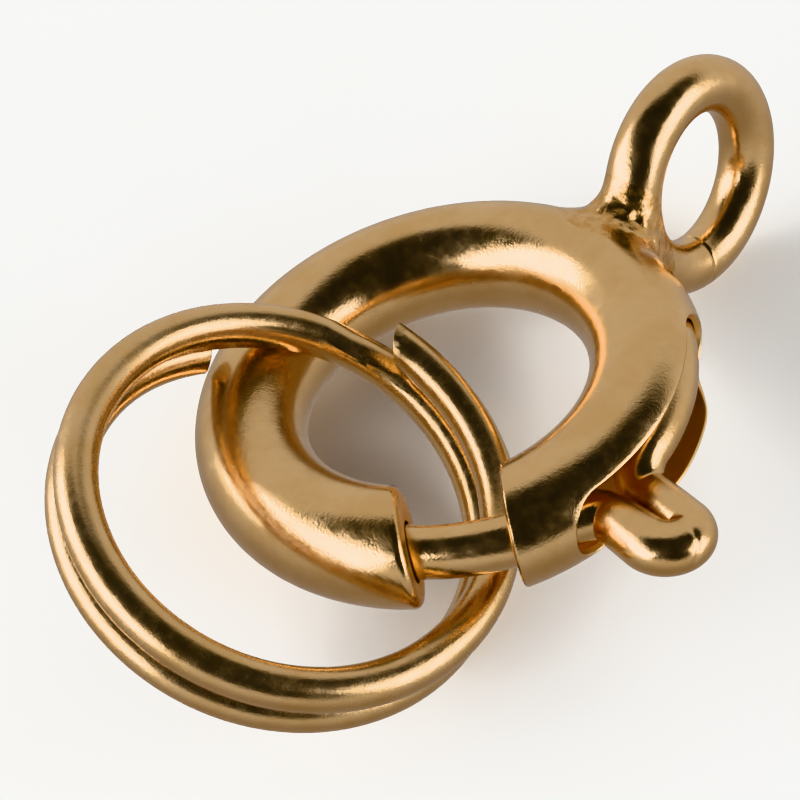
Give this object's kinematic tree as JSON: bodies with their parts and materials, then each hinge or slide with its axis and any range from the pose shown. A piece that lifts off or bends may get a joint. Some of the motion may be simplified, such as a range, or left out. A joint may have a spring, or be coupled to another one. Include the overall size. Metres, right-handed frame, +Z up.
{
  "type": "spring ring clasp",
  "caption": "Spring ring clasp: a bent tube with a sprung bolt and hairpin trigger, a soldered eye loop, and a close-wound split ring linked through its mouth.",
  "frame": {"origin": "centre of the bounding box, at the surface that the clasp lies on", "axes": "+Z up from that surface, X along the longest extent, with the eye loop toward +X and the split ring toward -X"},
  "size_m": [0.0126, 0.008, 0.0034],
  "materials": {
    "polished_gold": "brass with polished gold plating",
    "satin_gold": "brass with gold plating, drawn wire, slightly satin",
    "spring_wire": "bare spring steel wire, hidden in the tube"
  },
  "bodies": {
    "clasp": {"ring_body": "polished_gold", "bolt_spring": "spring_wire", "split_ring": "satin_gold"},
    "bolt": {"bolt": "polished_gold"}
  },
  "joints": [
    {"name": "bolt_draw", "type": "hinge", "parent": "clasp", "child": "bolt", "pos_m": [-0.00053, 0.00059, 0.00136], "axis": [-0.0706, 0.2028, 0.9767], "range_deg": [0, 37], "stiffness_Nm_per_rad": 0.0015, "springref_deg": -17.19, "deforming": ["bolt_spring"]}
  ]
}
